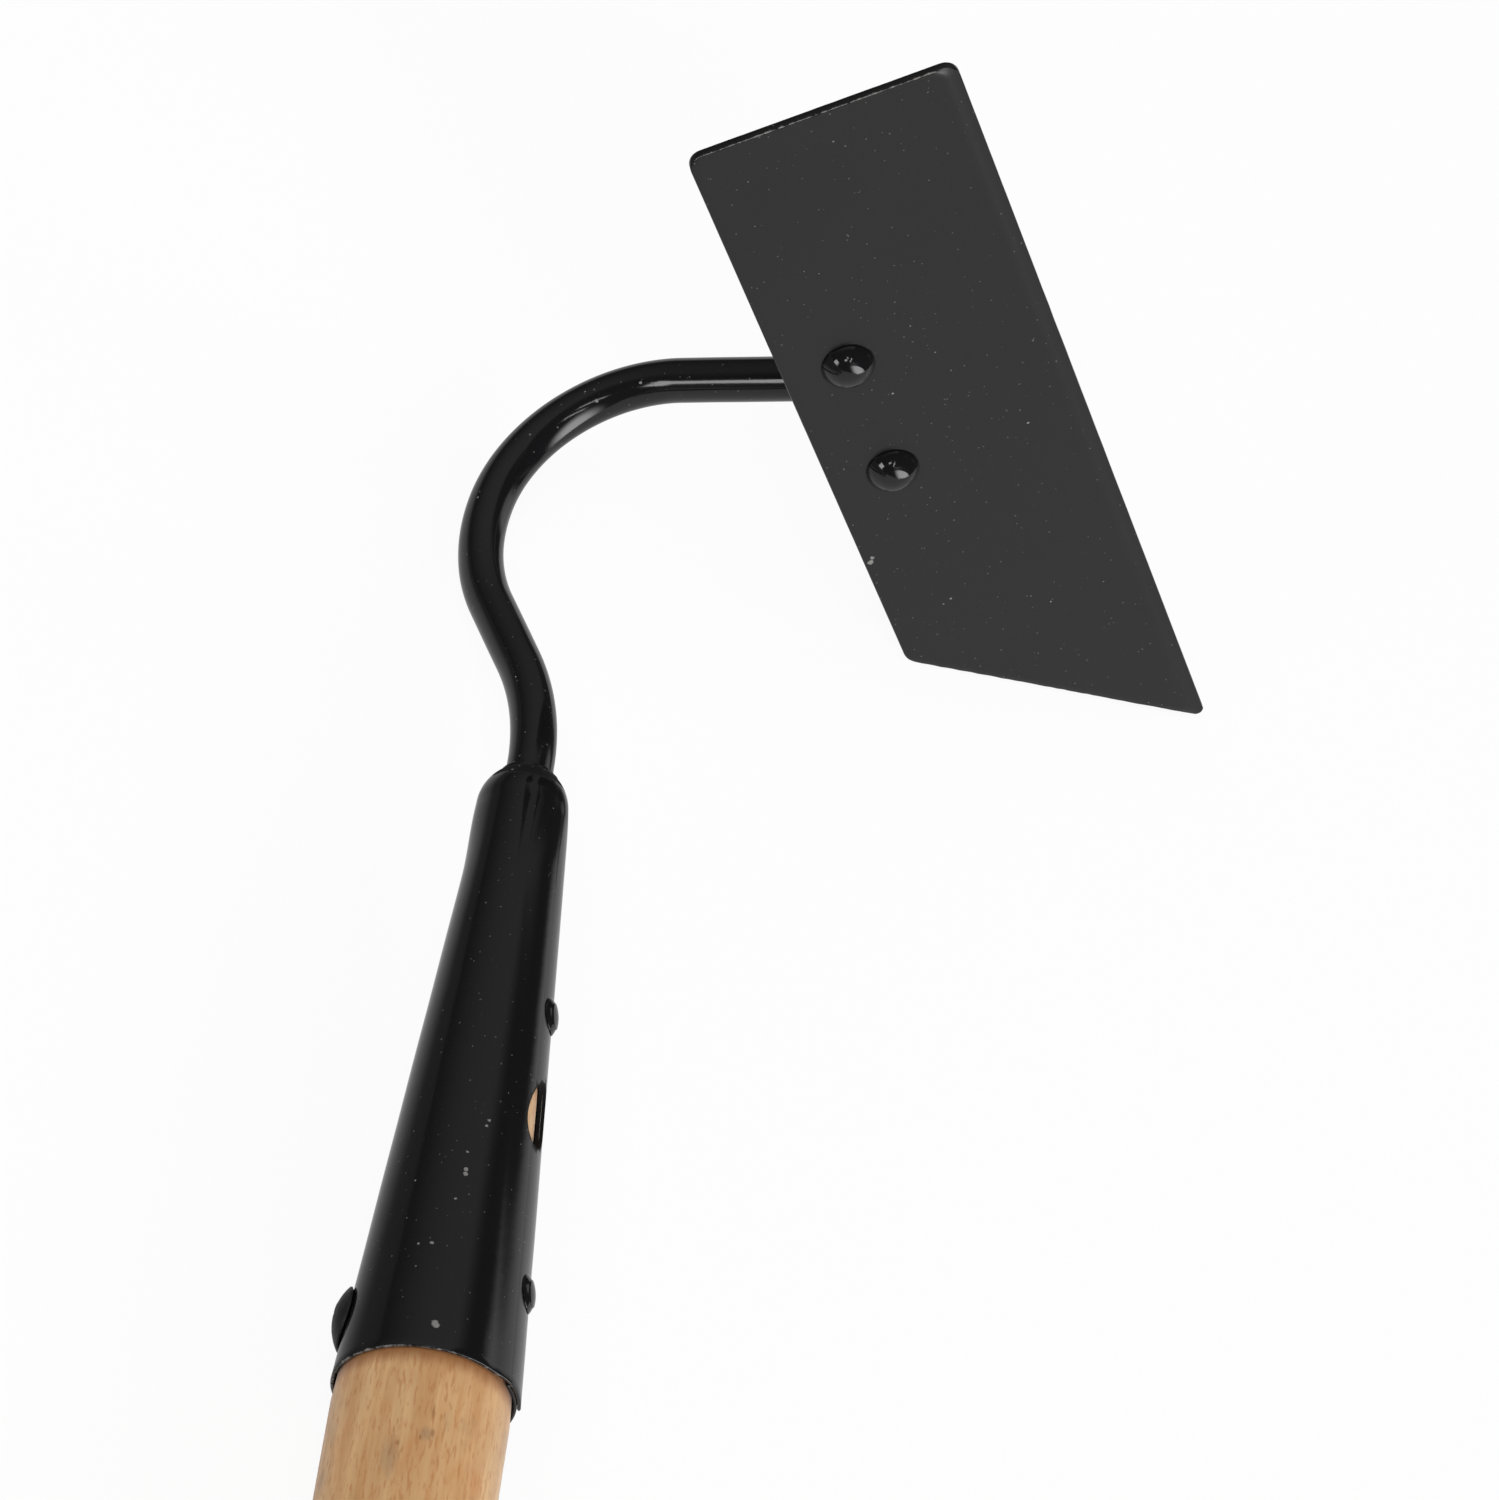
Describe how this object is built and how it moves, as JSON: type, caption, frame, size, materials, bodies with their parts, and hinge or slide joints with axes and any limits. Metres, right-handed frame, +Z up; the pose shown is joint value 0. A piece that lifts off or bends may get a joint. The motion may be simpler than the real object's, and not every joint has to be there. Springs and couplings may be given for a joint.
{
  "type": "garden draw hoe",
  "caption": "Garden draw hoe: a flat steel blade with one pointed end, riveted to a gooseneck rod in a rolled and riveted sheet socket, on a long round wooden handle.",
  "frame": {"origin": "centre of the base of the bounding box of the hoe as it lies at rest on a floor", "axes": "+X along the handle towards the head, +Z up, the handle's butt towards -X; the blade leans over towards -Y and its pointed end is down"},
  "size_m": [1.4248, 0.1494, 0.1252],
  "materials": {
    "beech": "bare turned beech with fine flecks, slightly worn",
    "black_paint": "gloss black paint over steel, with small chips and dust",
    "black_screw": "satin black screw"
  },
  "bodies": {
    "root": {"handle": "beech", "socket": "black_paint", "handle_screw": "black_screw", "seam_rivet_lower": "black_paint", "seam_rivet_upper": "black_paint", "neck_rod": "black_paint", "socket_weld": "black_paint", "foot_weld": "black_paint", "blade_foot": "black_paint", "blade": "black_paint", "blade_rivet_upper": "black_paint", "blade_rivet_lower": "black_paint"}
  },
  "joints": []
}
